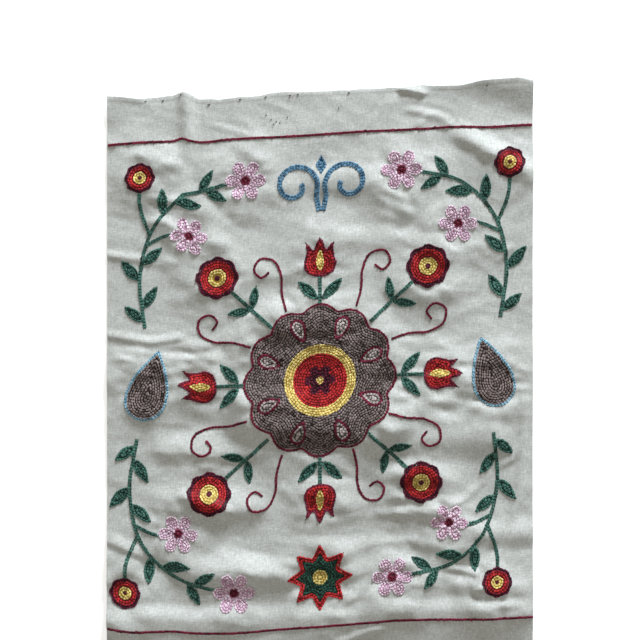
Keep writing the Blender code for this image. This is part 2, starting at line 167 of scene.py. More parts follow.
CREASES = (
    Fold(((104, -103), (118, -96), (130, -84), (134, -68)), 1.6, 7, 3, 10),
    Fold(((142, -73), (154, -67), (162, -56), (166, -48)), 1.2, 6, 3, 8),
    Fold(((163, -20), (162, -59), (158, -91), (152, -112)), 2.0, 8, 5, 14),
    Fold(((24, -180), (35, -168), (46, -157)), 1.5, 5, 3.5, 8),
    Fold(((14, -212), (34, -204), (50, -200)), 2.0, 6, 4, 10),
    Fold(((80, 199), (86, 206), (94, 208), (102, 204), (106, 199)), 1.4, 4, 8, 4),
    Fold(((70, 212), (90, 208)), 1.2, 5, 5, 8),
    Fold(((62, 228.5), (84, 223.5)), 2.4, 7, 2.2, 5),
    Fold(((-86, 203), (-60, 195), (-44, 191)), 1.0, 3, 6, 10),
    Fold(((-174, 96), (-136, 93)), 1.8, 6, 5, 10),
    Fold(((-137, 141), (-108, 139)), 1.6, 6, 5, 8),
    Fold(((-138, 122), (-120, 124), (-109, 114)), 1.8, 6, 6, 8),
    Fold(((-26, 75), (-6, 126)), 1.6, 8, 8, 16),
    Fold(((-174, -192), (-144, -209)), 3.2, 14, 10, 14),
    Fold(((-172, -131), (-152, -141), (-136, -148)), 2.4, 9, 6, 10),
    Fold(((-112, -96), (-88, -103), (-68, -110)), 2.2, 8, 7, 10),
    Fold(((48, -160), (66, -162)), 1.3, 5, 4, 6),
    Fold(((120, -172), (130, -166)), 1.2, 4, 3, 5),
    Fold(((100, -153), (126, -155)), 1.8, 6, 5, 8),
    Fold(((144, 92), (154, 105)), 1.1, 5, 3, 7),
    Fold(((60, -81), (96, -78)), 1.8, 10, 8, 14),
    Fold(((-172, 35), (-136, 28), (-112, 32)), 1.8, 7, 5, 10),
    Fold(((-68, -19), (-16, -21)), 2.5, 14, 12, 16),
)

Lift = namedtuple("Lift", "route height reach")
LIFTS = (
    Lift(((84, 230), (170, 203)), 6.0, 34),
    Lift(((-170, 194), (-132, 224)), 3.0, 20),
)

Wave = namedtuple("Wave", "pitch_u pitch_v height seed turn", defaults=(0.0,))
WAVES = (Wave(100, 48, 1.5, 3, -24), Wave(46, 26, 0.9, 5, -30))
CRUMPLES = (
    Wave(40, 19, 1.3, 9, -12),
    Wave(30, 14, 0.85, 31, 34),
    Wave(19, 12, 0.55, 37, -52),
    Wave(26, 8, 0.42, 41, 12),
)
PUCKERS = (Wave(21, 9, 1.8, 7), Wave(10, 6, 0.75, 11, 20), Wave(8, 17, 0.80, 15, 12))
PUCKERS_CALM = 0.15
PUCKERS_REACH = 32.0
PUCKERS_AT_ENDS = 0.3
PUCKERS_FADE_FROM, PUCKERS_FADE = 10.0, 24.0
PUCKERS_LEAST = 0.35
CRUMPLES_CALM = 0.6
WANDER = (Wave(52, 40, 11, 21), Wave(48, 44, 11, 22))
SWELL = Wave(42, 38, 0.9, 23)
BUSY = Wave(58, 44, 1.5, 25)
SETTLED = 1.5
GATHER = Wave(5.5, 5.5, 1.7, 17)
GATHER_REACH = 17.0
GATHER_INWARD = 3
HEM_WANDER = Wave(8, 60, 1.3, 13)
HEM_WANDER_FROM = 208.0
LATTICE = 64
NORMAL_STEP = 0.4

MOTIFS = motif_rounds()


def through(stations, values, x):
    """A smooth curve through the values at the stations, which never swings past them."""
    width = np.diff(stations)
    rise = np.diff(values) / width
    before, after = rise[:-1], rise[1:]
    steady = before * after > 0
    slope = np.concatenate([rise[:1], np.zeros(len(before)), rise[-1:]])
    slope[1:-1][steady] = (2 * before * after)[steady] / (before + after)[steady]
    i = np.clip(np.searchsorted(stations, x, side="right") - 1, 0, len(width) - 1)
    t = (x - stations[i]) / width[i]
    left = (1 + 2 * t) * values[i] + t * width[i] * slope[i]
    right = (3 - 2 * t) * values[i + 1] + (t - 1) * width[i] * slope[i + 1]
    return (1 - t) ** 2 * left + t**2 * right


def laid(flat):
    """Where points of the flat cloth lie in plan."""
    u, v = flat[:, 0], flat[:, 1]
    table = np.array(STATIONS, float)
    lines = [through(table[:, 0], table[:, 1 + k], u) for k in range(len(FLAT_LINES))]
    band = np.clip(np.searchsorted(FLAT_LINES, v, side="right") - 1, 0, len(FLAT_LINES) - 2)
    y = np.zeros(len(v))
    for k in range(len(FLAT_LINES) - 1):
        share = (v - FLAT_LINES[k]) / (FLAT_LINES[k + 1] - FLAT_LINES[k])
        y = np.where(band == k, lines[k] + share * (lines[k + 1] - lines[k]), y)
    return np.stack([u, y], axis=1)


def beside(plan, route):
    """How far points lie past the ends of a route, below nought between them, and how far to its left."""
    route = np.array(route, float)
    lengths = np.linalg.norm(np.diff(route, axis=0), axis=1)
    nearest = np.full(len(plan), np.inf)
    travel, left = np.zeros(len(plan)), np.zeros(len(plan))
    for k, start in enumerate(route[:-1]):
        way = (route[k + 1] - start) / lengths[k]
        along = (plan - start) @ way
        side = (plan - start) @ np.array((-way[1], way[0]))
        low = -np.inf if k == 0 else 0
        high = np.inf if k == len(lengths) - 1 else lengths[k]
        reached = np.clip(along, low, high)
        gap = np.hypot(side, along - reached)
        nearer = gap < nearest
        nearest = np.where(nearer, gap, nearest)
        travel = np.where(nearer, lengths[:k].sum() + reached, travel)
        left = np.where(nearer, np.copysign(gap, side), left)
    return np.maximum(-travel, travel - lengths.sum()), left


def hump(t):
    """One at nought, falling softly to nothing at one."""
    return np.cos(np.clip(np.abs(t), 0, 1) * math.pi / 2) ** 2


def ripple(points, wave):
    """Uneven soft waves, between nothing and the wave's height."""
    lattice = np.random.default_rng(wave.seed).random((LATTICE, LATTICE))
    at = placed(points, turn=wave.turn) / (wave.pitch_u, wave.pitch_v) + LATTICE / 2
    cell = np.floor(at).astype(int)
    t = at - cell
    t = t * t * (3 - 2 * t)
    i, j = cell[:, 0] % LATTICE, cell[:, 1] % LATTICE
    next_i, next_j = (i + 1) % LATTICE, (j + 1) % LATTICE
    near = lattice[i, j] * (1 - t[:, 0]) + lattice[next_i, j] * t[:, 0]
    far = lattice[i, next_j] * (1 - t[:, 0]) + lattice[next_i, next_j] * t[:, 0]
    return wave.height * (near * (1 - t[:, 1]) + far * t[:, 1])


def gathered(plan, motif):
    """The small folds that run out from a motif's stitched edge, and how near to the motif points lie."""
    away = plan - (motif.u, motif.v)
    distance = np.maximum(np.linalg.norm(away, axis=1), 1e-6)
    edge = away / distance[:, None] * motif.radius
    ridges = ripple(edge + (motif.u, motif.v), GATHER)
    outside = distance - motif.radius
    ridges = ridges * hump(np.where(outside > 0, outside, -GATHER_INWARD * outside) / GATHER_REACH)
    return ridges, hump(np.maximum(outside, 0) / PUCKERS_REACH)


def surface(flat):
    """Where points of the flat cloth's face lie, in millimetres."""
    plan = laid(flat)
    wander = ripple(flat, HEM_WANDER) - HEM_WANDER.height / 2
    to_edge = (flat[:, 1] - HEM_WANDER_FROM) / (FLAT_LINES[-1] - HEM_WANDER_FROM)
    plan[:, 1] += wander * np.clip(to_edge, 0, 1)
    bent = plan + np.column_stack([ripple(plan, wave) - wave.height / 2 for wave in WANDER])
    swell = 1 + ripple(plan, SWELL) - SWELL.height / 2
    z = np.zeros(len(plan))
    for fold in FOLDS + CREASES:
        past, left = beside((plan + bent) / 2, fold.route)
        across = np.where(left > 0, left / fold.beyond, left / fold.before)
        ending = np.maximum(past + fold.end / 2, 0) / fold.end
        z = z + fold.height * swell * hump(ending) * hump(across)
    for lift in LIFTS:
        _, left = beside(plan, lift.route)
        z = np.maximum(z, lift.height * (1 - hump(np.maximum(left, 0) / lift.reach)))
    for wave in WAVES:
        z = z + ripple(bent, wave)
    worked = np.zeros(len(plan))
    for motif in MOTIFS:
        ridges, near_motif = gathered(plan, motif)
        z = z + ridges
        worked = np.maximum(worked, near_motif)
    near, far = FLAT_LINES[1], FLAT_LINES[2]
    beyond_field = np.abs(flat[:, 1] - (near + far) / 2) - (far - near) / 2 + PUCKERS_FADE_FROM
    drawn_up = PUCKERS_AT_ENDS + (1 - PUCKERS_AT_ENDS) * hump(np.maximum(beyond_field, 0) / PUCKERS_FADE)
    drawn_up = drawn_up * (PUCKERS_CALM + worked * (PUCKERS_LEAST + ripple(plan, BUSY) ** 2))
    crumpled = CRUMPLES_CALM + (1 - CRUMPLES_CALM) * worked
    for wave in CRUMPLES:
        z = z + (wave.height - np.abs(2 * ripple(bent, wave) - wave.height)) * crumpled
    for wave in PUCKERS:
        z = z + ripple(2 * bent - plan, wave) * drawn_up
    return np.column_stack([plan, CLOTH_TOP + np.maximum(z - SETTLED, 0)])


def facing(flat):
    """The way that the cloth faces at points of the flat cloth."""
    across = surface(flat + (NORMAL_STEP, 0)) - surface(flat - (NORMAL_STEP, 0))
    along = surface(flat + (0, NORMAL_STEP)) - surface(flat - (0, NORMAL_STEP))
    normal = np.cross(across, along)
    return normal / np.linalg.norm(normal, axis=1)[:, None]


def node(tree, kind, x, y, inputs=(), **settings):
    """A shader node with its settings, its plain values and the sockets that feed it."""
    made = tree.nodes.new(kind)
    made.location = (x, y)
    for name, value in settings.items():
        setattr(made, name, value)
    for name, value in inputs:
        if isinstance(value, bpy.types.NodeSocket):
            tree.links.new(value, made.inputs[name])
        else:
            made.inputs[name].default_value = value
    return made


def arithmetic(tree, operation, x, y, *values, **settings):
    """What a math node makes of the values and sockets."""
    made = node(tree, "ShaderNodeMath", x, y, enumerate(values), operation=operation, **settings)
    return made.outputs[0]


def noise(tree, x, y, place, scale, detail, roughness=0.5):
    """An uneven tone over a place."""
    inputs = (("Vector", place), ("Scale", scale), ("Detail", detail), ("Roughness", roughness))
    return node(tree, "ShaderNodeTexNoise", x, y, inputs).outputs["Fac"]


def blend(tree, x, y, factor, first, second):
    """A colour between two others."""
    inputs = (("Factor", factor), ("A", first), ("B", second))
    return node(tree, "ShaderNodeMix", x, y, inputs, data_type="RGBA").outputs["Result"]


def raised(tree, x, y, height, strength, distance):
    """The way that a surface faces with a fine relief on it."""
    inputs = (("Height", height), ("Strength", strength), ("Distance", distance))
    return node(tree, "ShaderNodeBump", x, y, inputs).outputs["Normal"]


def yarn(tree, y, place, scale, direction):
    """The bands of one set of yarns."""
    inputs = (("Vector", place), ("Scale", scale), *YARN_WAVER)
    return node(tree, "ShaderNodeTexWave", -1200, y, inputs, bands_direction=direction).outputs["Fac"]


def slubs(tree, y, place, scale):
    """The thick and thin places of one set of yarns."""
    stretched = node(tree, "ShaderNodeMapping", -1500, y, (("Vector", place), ("Scale", scale)))
    return noise(tree, -1200, y, stretched.outputs[0], 1.0, 4.0, 0.65)


YARN_WAVER = (("Distortion", 1.5), ("Detail", 2.0), ("Detail Scale", 0.6))
WARP_SCALE, WEFT_SCALE = 610.0, 560.0
SLUBS_ALONG, SLUBS_ACROSS = (190.0, 950.0, 1.0), (900.0, 170.0, 1.0)
SLUB_SHARE, GRAIN_SHARE, CLOUD_SHARE = 1.5, 0.70, 0.22
GRAIN_SCALE, CLOUD_SCALE = 620.0, 34.0
TONE_LOW, TONE_HIGH = 0.57, 1.09
COTTON_DARK, COTTON_LIGHT = (0.325, 0.328, 0.302, 1), (0.548, 0.560, 0.542, 1)
FLECK_SCALE, FLECK_SIZE, FLECK_RARE, FLECK_SHARE = 190.0, 0.09, 0.95, 0.5
FLECK_COLOUR = (0.16, 0.11, 0.06, 1)
SLUB_HEIGHT, WEAVE_BUMP, WEAVE_DEPTH = 2.4, 0.6, 0.00016


def cotton_material():
    """Plain weave with slubs, husk flecks and a faint unevenness of colour."""
    made = bpy.data.materials.new("undyed_cotton")
    made.use_nodes = True
    tree = made.node_tree
    shader = tree.nodes["Principled BSDF"]
    place = node(tree, "ShaderNodeUVMap", -1800, 0, uv_map="flat").outputs["UV"]
    warp = yarn(tree, 300, place, WARP_SCALE, "X")
    weft = yarn(tree, 0, place, WEFT_SCALE, "Y")
    weave = arithmetic(tree, "MULTIPLY", -950, 150, warp, weft)
    along, across = slubs(tree, -300, place, SLUBS_ALONG), slubs(tree, -600, place, SLUBS_ACROSS)
    slub = arithmetic(tree, "MULTIPLY", -950, -400, along, across)
    cloudy = noise(tree, -1200, -900, place, CLOUD_SCALE, 5.0, 0.6)
    grainy = noise(tree, -1200, -750, place, GRAIN_SCALE, 3.0, 0.7)
    clouds = arithmetic(tree, "MULTIPLY", -950, -700, cloudy, CLOUD_SHARE)
    grain = arithmetic(tree, "MULTIPLY_ADD", -850, -800, grainy, GRAIN_SHARE, clouds)
    tone = arithmetic(tree, "MULTIPLY_ADD", -700, -500, slub, SLUB_SHARE, grain)
    limits = (("Value", tone), ("From Min", TONE_LOW), ("From Max", TONE_HIGH))
    level = node(tree, "ShaderNodeMapRange", -500, -450, limits).outputs[0]
    base = blend(tree, -300, -200, level, COTTON_DARK, COTTON_LIGHT)
    scattered = (("Vector", place), ("Scale", FLECK_SCALE), ("Randomness", 1.0))
    flecks = node(tree, "ShaderNodeTexVoronoi", -1200, -1200, scattered)
    small = arithmetic(tree, "LESS_THAN", -950, -1200, flecks.outputs["Distance"], FLECK_SIZE)
    chance = node(tree, "ShaderNodeTexWhiteNoise", -950, -1400, (("Vector", flecks.outputs["Position"]),),
        noise_dimensions="3D")
    few = arithmetic(tree, "GREATER_THAN", -700, -1300, chance.outputs["Value"], FLECK_RARE)
    speck = arithmetic(tree, "MULTIPLY", -500, -1200, small, few)
    part = arithmetic(tree, "MULTIPLY", -350, -1000, speck, FLECK_SHARE)
    colour = blend(tree, -50, -300, part, base, FLECK_COLOUR)
    high = arithmetic(tree, "MULTIPLY_ADD", -700, 50, slub, SLUB_HEIGHT, weave)
    tree.links.new(colour, shader.inputs["Base Color"])
    tree.links.new(raised(tree, -250, 100, high, WEAVE_BUMP, WEAVE_DEPTH), shader.inputs["Normal"])
    shader.inputs["Roughness"].default_value = 0.9
    shader.inputs["Specular IOR Level"].default_value = 0.15
    return made


def ground_cloth():
    seam, rim = FLAT_LINES[-1] - HEM_WIDTH, FLAT_LINES[-1]
    rows = np.linspace(FLAT_LINES[0], seam, ROWS - 3)
    rows = np.append(rows, (*(seam + row for row in HEM_ROWS), rim - HEM_EDGE_ROW, rim))
    bm = bmesh.new()
    bmesh.ops.create_grid(bm, x_segments=COLUMNS, y_segments=ROWS, size=1)
    grid = np.array([v.co[:2] for v in bm.verts])
    columns = np.linspace(EDGE_COLUMN - HALF_WIDTH, HALF_WIDTH - EDGE_COLUMN, COLUMNS - 1)
    columns = np.concatenate([[-HALF_WIDTH], columns, [HALF_WIDTH]])
    u = np.interp((grid[:, 0] + 1) / 2 * COLUMNS, np.arange(COLUMNS + 1), columns)
    v = np.interp((grid[:, 1] + 1) / 2 * ROWS, np.arange(ROWS + 1), rows)
    flat = np.stack([u, v], axis=1)
    points = surface(flat)
    points[:, 2] += HEM_RISE * (v > seam + HEM_FOOT) * (v < rim - HEM_LIP)
    for vert, point in zip(bm.verts, points):
        vert.co = point * MM
    uv = bm.loops.layers.uv.new("flat")
    for face in bm.faces:
        for loop in face.loops:
            loop[uv].uv = flat[loop.vert.index] * MM + (0.5, 0.5)
        face.smooth = True
    mesh = bpy.data.meshes.new("cotton_cloth")
    bm.to_mesh(mesh)
    bm.free()
    mesh.materials.append(cotton_material())
    made = bpy.data.objects.new("cotton_cloth", mesh)
    bpy.context.scene.collection.objects.link(made)
    thicken = made.modifiers.new("thickness", "SOLIDIFY")
    thicken.thickness = CLOTH_THICKNESS * MM
    thicken.offset = -1
    return made


cloth = ground_cloth()
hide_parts(CLOTH_NODE)
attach(cloth, "root")


# Chain stitch
# Every motif is filled with rows of chain stitch that follow its outline, and most are outlined with a row
# of another colour. Each stitch is a loop of thread held down by the start of the next.

ROW_WIDTH = 1.9
NARROWEST_STITCH = 1.6
STITCH_LENGTH = 2.4
STRAND_HALF_WIDTH = 0.40
STRAND_HALF_HEIGHT = 0.38
FIELD_STEP = 0.4
# LINK_SIDE gives x, y and z for half a link, and a painted shade: darker at the two ends, where the loop
# sinks into its holes, lighter where it stands up. LINK_RING gives a painted shade round the thread too:
# lighter on its top, darker at its sides.
LINK_SIDE = (
    (0.0, 0.06, 0.10, -1.6),
    (0.60, 0.24, 0.50, 0.0),
    (1.35, 0.37, 0.62, 0.7),
    (2.10, 0.36, 0.46, 0.3),
    (2.66, 0.0, 0.14, -0.9),
)
LINK_RING = ((90, 0.8), (210, -0.6), (330, -0.6))
STITCH_TONE = 0.6
TURN_JITTER, LENGTH_JITTER, WIDTH_JITTER, RISE_JITTER = 0.12, 0.07, 0.08, 0.12
UNDER_CELL = 2
UNDER_RISE = 0.20
# The sheet beneath the stitches takes a low tone: painted shade in the gaps between the stitches.
UNDER_SHADE = -1.7
UNDER_LINE = 0.66
UNDER_LINE_SHADE = -1.2
STITCH_OVERLAP = 0.3
UNDER_OVERLAP = 1.0
OUTLINE = 2.7
WIDE_OUTLINE = 3.2
CELL_CORNERS = np.array(((0, 0), (1, 0), (1, 1), (0, 1))) * FIELD_STEP * UNDER_CELL


def link_shape():
    """One stitch as a closed tube: its points, its faces, and where each point is along and round the
    thread, with its painted shade: lighter on top and where it stands up, darker at its sides, low down and
    near a hole."""
    half = np.array(LINK_SIDE)
    path = np.concatenate([half, half[-2::-1] * (1, -1, 1, 1)])
    path, shade = path[:, :3], path[:, 3]
    way = np.roll(path, -1, axis=0) - np.roll(path, 1, axis=0)
    way /= np.linalg.norm(way, axis=1)[:, None]
    side = np.stack([way[:, 1], -way[:, 0], np.zeros(len(path))], axis=1)
    count, round_it = len(path), len(LINK_RING)
    points, threads, faces = [], [], []
    for k, (angle, tone) in enumerate(LINK_RING):
        a = math.radians(angle)
        out, up = math.cos(a) * STRAND_HALF_WIDTH, math.sin(a) * STRAND_HALF_HEIGHT
        points.append(path + side * out + (0, 0, up))
        share = np.arange(count) / count
        threads.append(np.stack([share, np.full(count, k / round_it), shade + tone], axis=1))
        m = (k + 1) % round_it
        for i in range(count):
            j = (i + 1) % count
            faces.append((k * count + i, k * count + j, m * count + j, m * count + i))
    return np.concatenate(points), np.array(faces), np.concatenate(threads)


LINK_POINTS, LINK_FACES, LINK_THREADS_AND_SHADE = link_shape()


def depth_inside(points, outline):
    """How far points lie inside an outline, below nought where they lie outside."""
    nearest = np.full(len(points), np.inf)
    inside = np.zeros(len(points), bool)
    for a, b in zip(outline, np.roll(outline, -1, axis=0)):
        way, away = b - a, points - a
        share = np.clip(away @ way / max(way @ way, 1e-9), 0, 1)
        gap = away - share[:, None] * way
        nearest = np.minimum(nearest, (gap * gap).sum(1))
        crosses = (a[1] > points[:, 1]) != (b[1] > points[:, 1])
        if a[1] != b[1]:
            at = a[0] + (points[:, 1] - a[1]) * way[0] / way[1]
            inside ^= crosses & (points[:, 0] < at)
    return np.where(inside, 1, -1) * np.sqrt(nearest)


def depth_field(outline, edge):
    """How deep each point of a fine grid lies past an outline's edge rows, with the grid's own corner."""
    low, high = outline.min(0) - 1, outline.max(0) + 1
    count = np.ceil((high - low) / FIELD_STEP).astype(int) + 1
    i, j = np.meshgrid(np.arange(count[0]), np.arange(count[1]), indexing="ij")
    points = low + np.stack([i.ravel(), j.ravel()], axis=1) * FIELD_STEP
    return (depth_inside(points, outline) - edge).reshape(count), low


def uncovered(points, covers, overlap=STITCH_OVERLAP):
    """Which points lie clear of everything that is worked over them, or only a little way under it."""
    clear = np.ones(len(points), bool)
    low, high = points.min(0), points.max(0)
    for cover in covers:
        if (cover.min(0) < high).all() and (cover.max(0) > low).all():
            clear &= depth_inside(points, cover) < overlap
    return clear


def contours(field, level):
    """The closed loops along which a field passes a level, in steps of its grid."""
    above = field > level
    mixed = above[:-1, :-1].astype(int) + above[1:, :-1] + above[:-1, 1:] + above[1:, 1:]
    joined = {}
    for i, j in np.argwhere((mixed > 0) & (mixed < 4)):
        sides = (
            ((i, j), (i + 1, j)),
            ((i + 1, j), (i + 1, j + 1)),
            ((i, j + 1), (i + 1, j + 1)),
            ((i, j), (i, j + 1)),
        )
        crossed = [s for s in sides if above[s[0]] != above[s[1]]]
        for k in range(0, len(crossed), 2):
            joined.setdefault(crossed[k], []).append(crossed[k + 1])
            joined.setdefault(crossed[k + 1], []).append(crossed[k])
    loops = []
    while joined:
        start, last = next(iter(joined)), None
        at, loop = start, []
        while at in joined:
            loop.append(at)
            after = [s for s in joined.pop(at) if s != last]
            last, at = at, after[0] if after else None
        ends = np.array(loop)
        low, high = field[ends[:, 0, 0], ends[:, 0, 1]], field[ends[:, 1, 0], ends[:, 1, 1]]
        share = ((level - low) / (high - low))[:, None]
        loops.append(ends[:, 0] * (1 - share) + ends[:, 1] * share)
    return loops


def sides(route):
    """The unit direction of a route at each of its points, and the one to its left."""
    way = np.gradient(route, axis=0)
    way /= np.linalg.norm(way, axis=1)[:, None]
    return way, np.stack([-way[:, 1], way[:, 0]], axis=1)


def spaced(route):
    """A row's holes in the cloth, a stitch apart."""
    along = np.concatenate([[0], np.cumsum(np.linalg.norm(np.diff(route, axis=0), axis=1))])
    at = np.linspace(0, along[-1], max(1, round(along[-1] / STITCH_LENGTH)) + 1)
    return np.stack([np.interp(at, along, route[:, k]) for k in (0, 1)], axis=1)


def strip(holes, width):
    """A sheet beneath a row, in the thread's dark tone as painted shade for the gaps, as a four-sided cell
    to each stitch.
    """
    _, left = sides(holes)
    right_side, left_side = holes - left * width / 2, holes + left * width / 2
    return np.stack([right_side[:-1], right_side[1:], left_side[1:], left_side[:-1]], axis=1)


def stitch_mesh(name, starts, ends, widths, under, under_rise, under_shade, seed):
    """Every stitch of a piece, with a sheet beneath in the thread's dark tone as painted shade for the gaps,
    laid on the cloth as one mesh.
    """
    rng = np.random.default_rng(seed)
    count = len(starts)
    way = ends - starts
    length = np.linalg.norm(way, axis=1)
    turn = np.arctan2(way[:, 1], way[:, 0]) + rng.normal(0, TURN_JITTER, count)
    stretch = length / STITCH_LENGTH * rng.normal(1, LENGTH_JITTER, count)
    spread = widths / ROW_WIDTH * rng.normal(1, WIDTH_JITTER, count)
    lift = rng.normal(1, RISE_JITTER, count)
    x = LINK_POINTS[None, :, 0] * stretch[:, None]
    y = LINK_POINTS[None, :, 1] * spread[:, None]
    cos, sin = np.cos(turn)[:, None], np.sin(turn)[:, None]
    flat = np.stack([x * cos - y * sin, x * sin + y * cos], axis=2) + starts[:, None]
    flat = flat.reshape(-1, 2)
    rise = (LINK_POINTS[None, :, 2] * lift[:, None]).ravel()
    faces = (LINK_FACES[None] + np.arange(count)[:, None, None] * len(LINK_POINTS)).reshape(-1, 4)
    thread = np.tile(LINK_THREADS_AND_SHADE, (count, 1))
    thread[:, 2] += np.repeat(rng.normal(0, STITCH_TONE, count), len(LINK_POINTS))
    # The cells beneath are a sheet of painted shade, in the thread's dark tone.
    under = under.reshape(-1, 2)
    faces = np.concatenate([faces, len(flat) + np.arange(len(under)).reshape(-1, 4)])
    flat = np.concatenate([flat, under])
    rise = np.concatenate([rise, np.full(len(under), under_rise)])
    thread = np.concatenate([thread, np.tile((0, 0, under_shade), (len(under), 1))])
    points = (surface(flat) + facing(flat) * rise[:, None]) * MM
    mesh = bpy.data.meshes.new(name)
    mesh.from_pydata(points, [], faces)
    mesh.attributes.new("thread", "FLOAT_VECTOR", "POINT").data.foreach_set("vector", thread.ravel())
    mesh.shade_smooth()
    return mesh


def embroider(name, thread, fills=(), lines=(), over=(), skip=0, rows=None, width=ROW_WIDTH, seed=1):
    """Works a piece. A fill is an outline with whatever is worked over it. It is filled to its middle, or
    with its outermost rows alone, and skip leaves its first rows for an outline of another colour. Lines are
    single rows, which stop short of the shapes in over."""
    starts, ends, widths, under = [], [], [], []
    for outline, *covers in fills:
        field, corner = depth_field(outline, skip * ROW_WIDTH)
        deep = field.max()
        step = width if rows else deep / max(1, round(deep / width))
        for k in range(rows or max(1, round(deep / width))):
            for loop in contours(field, (k + 0.5) * step):
                holes = spaced(corner + np.concatenate([loop, loop[:1]]) * FIELD_STEP)
                clear = uncovered((holes[:-1] + holes[1:]) / 2, covers)
                starts.append(holes[:-1][clear])
                ends.append(holes[1:][clear])
                widths.append(np.full(clear.sum(), max(step, NARROWEST_STITCH)))
        # Cells beneath the rows: a dark sheet, painted shade for the gaps between the stitches.
        coarse = field[::UNDER_CELL, ::UNDER_CELL]
        shallow = np.minimum.reduce([coarse[:-1, :-1], coarse[1:, :-1], coarse[:-1, 1:], coarse[1:, 1:]])
        filled = shallow > (-ROW_WIDTH / 2 if skip else FIELD_STEP / 2)
        if rows:
            filled &= shallow < rows * width + FIELD_STEP
        cells = corner + np.argwhere(filled) * FIELD_STEP * UNDER_CELL
        cells = cells[uncovered(cells + CELL_CORNERS.mean(0), covers, UNDER_OVERLAP)]
        under.append(cells[:, None] + CELL_CORNERS)
    for route in lines:
        holes = spaced(np.asarray(route, float))
        clear = uncovered((holes[:-1] + holes[1:]) / 2, over)
        starts.append(holes[:-1][clear])
        ends.append(holes[1:][clear])
        widths.append(np.full(clear.sum(), width))
        under.append(strip(holes, width * UNDER_LINE)[clear])
    under = np.concatenate(under)
    mesh = stitch_mesh(name, np.concatenate(starts), np.concatenate(ends), np.concatenate(widths), under,
        UNDER_RISE / 2 if rows else UNDER_RISE, UNDER_SHADE if fills else UNDER_LINE_SHADE, seed)
    mesh.materials.append(thread.material)
    made = bpy.data.objects.new(name, mesh)
    bpy.context.scene.collection.objects.link(made)
    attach(made, "root")


Thread = namedtuple("Thread", "slot material")
PLAIN, MARLED = 0.40, 0.45
THREAD_TONE = -0.15
UNEVEN_SCALE, UNEVEN_SHARE = 90.0, 0.9
FIBRE_SCALE, FIBRE_SHARE = 1100.0, 0.4
TWISTS, TWIST_BUMP, TWIST_DEPTH = 14.0, 0.35, 0.00006


def spun(name, dark, light, spread=PLAIN, slot=None):
    """A thread: its colour wanders between a dark and a light tone, by random noise, by each stitch's own
    tone and by the painted shade that the stitch mesh carries, with the twist of its plies.
    """
    made = bpy.data.materials.new(name + "_thread")
    made.use_nodes = True
    tree = made.node_tree
    shader = tree.nodes["Principled BSDF"]
    facts = node(tree, "ShaderNodeAttribute", -1300, 0, attribute_name="thread")
    parts = node(tree, "ShaderNodeSeparateXYZ", -1100, 0, (("Vector", facts.outputs["Vector"]),)).outputs
    place = node(tree, "ShaderNodeTexCoord", -1300, -300).outputs["Object"]
    uneven = noise(tree, -1100, -300, place, UNEVEN_SCALE, 5.0)
    fibre = noise(tree, -1100, -550, place, FIBRE_SCALE, 2.0)
    # The attribute's Z holds each point's painted shade with the stitch's own random tone; spread says how
    # far they move the colour.
    own = arithmetic(tree, "MULTIPLY_ADD", -900, 0, parts["Z"], spread, THREAD_TONE)
    mixed = arithmetic(tree, "MULTIPLY_ADD", -700, -100, uneven, UNEVEN_SHARE, own)
    level = arithmetic(tree, "MULTIPLY_ADD", -500, -100, fibre, FIBRE_SHARE, mixed, use_clamp=True)
    colour = blend(tree, -300, 0, level, (*dark, 1), (*light, 1))
    plies = arithmetic(tree, "MULTIPLY_ADD", -900, 300, parts["X"], TWISTS, parts["Y"])
    angle = arithmetic(tree, "MULTIPLY", -700, 300, plies, 2 * math.pi)
    twist = arithmetic(tree, "SINE", -500, 300, angle)
    tree.links.new(colour, shader.inputs["Base Color"])
    tree.links.new(raised(tree, -300, 300, twist, TWIST_BUMP, TWIST_DEPTH), shader.inputs["Normal"])
    shader.inputs["Roughness"].default_value = 0.55
    shader.inputs["Specular IOR Level"].default_value = 0.2
    return Thread("thread_" + (slot or name), made)


maroon = spun("maroon", (0.014, 0.001, 0.003), (0.150, 0.018, 0.046))
claret = spun("claret", (0.036, 0.001, 0.006), (0.225, 0.022, 0.050), slot="maroon")
red = spun("red", (0.110, 0.002, 0.005), (0.700, 0.042, 0.044))
yellow = spun("yellow", (0.330, 0.205, 0.026), (1.000, 0.835, 0.320))
green = spun("green", (0.004, 0.024, 0.017), (0.092, 0.232, 0.186))
dark_green = spun("dark_green", (0.003, 0.016, 0.010), (0.040, 0.125, 0.088))
pink = spun("pink", (0.380, 0.205, 0.295), (0.960, 0.790, 0.890))
blue = spun("blue", (0.012, 0.056, 0.110), (0.150, 0.310, 0.450))
light_blue = spun("light_blue", (0.060, 0.175, 0.255), (0.300, 0.515, 0.635))
grey_brown = spun("grey_brown", (0.017, 0.009, 0.008), (0.350, 0.278, 0.262), MARLED)
husk_brown = spun("husk_brown", (0.020, 0.016, 0.012), (0.090, 0.075, 0.055), slot="grey_brown")
pale_grey_brown = spun("pale_grey_brown", (0.058, 0.044, 0.040), (0.620, 0.540, 0.515), MARLED,
    "grey_brown")


# Drawing the motifs
# The maker draws each motif on the cloth in pen before working it. These are the outlines and lines that
# the motifs below are put together from, each about its own foot or middle.

LOBE_POINTS = 12
ROUND_POINTS = 48
SIDE_POINTS = 14
ROUTE_SPACING = 1.2
STEM_ROW = 1.5
ROUND_HEAD = 1.3
LEAF_SHIFT = 0.85


def lobed(radius, lobes, depth):
    """A round outline with so many shallow lobes."""
    angles = np.arange(lobes * LOBE_POINTS) * 2 * math.pi / (lobes * LOBE_POINTS)
    r = radius * (1 - depth * (1 - np.abs(np.cos(lobes * angles / 2))))
    return np.stack([r * np.cos(angles), r * np.sin(angles)], axis=1)


def disc(radius):
    angles = np.arange(ROUND_POINTS) * 2 * math.pi / ROUND_POINTS
    return radius * np.stack([np.cos(angles), np.sin(angles)], axis=1)


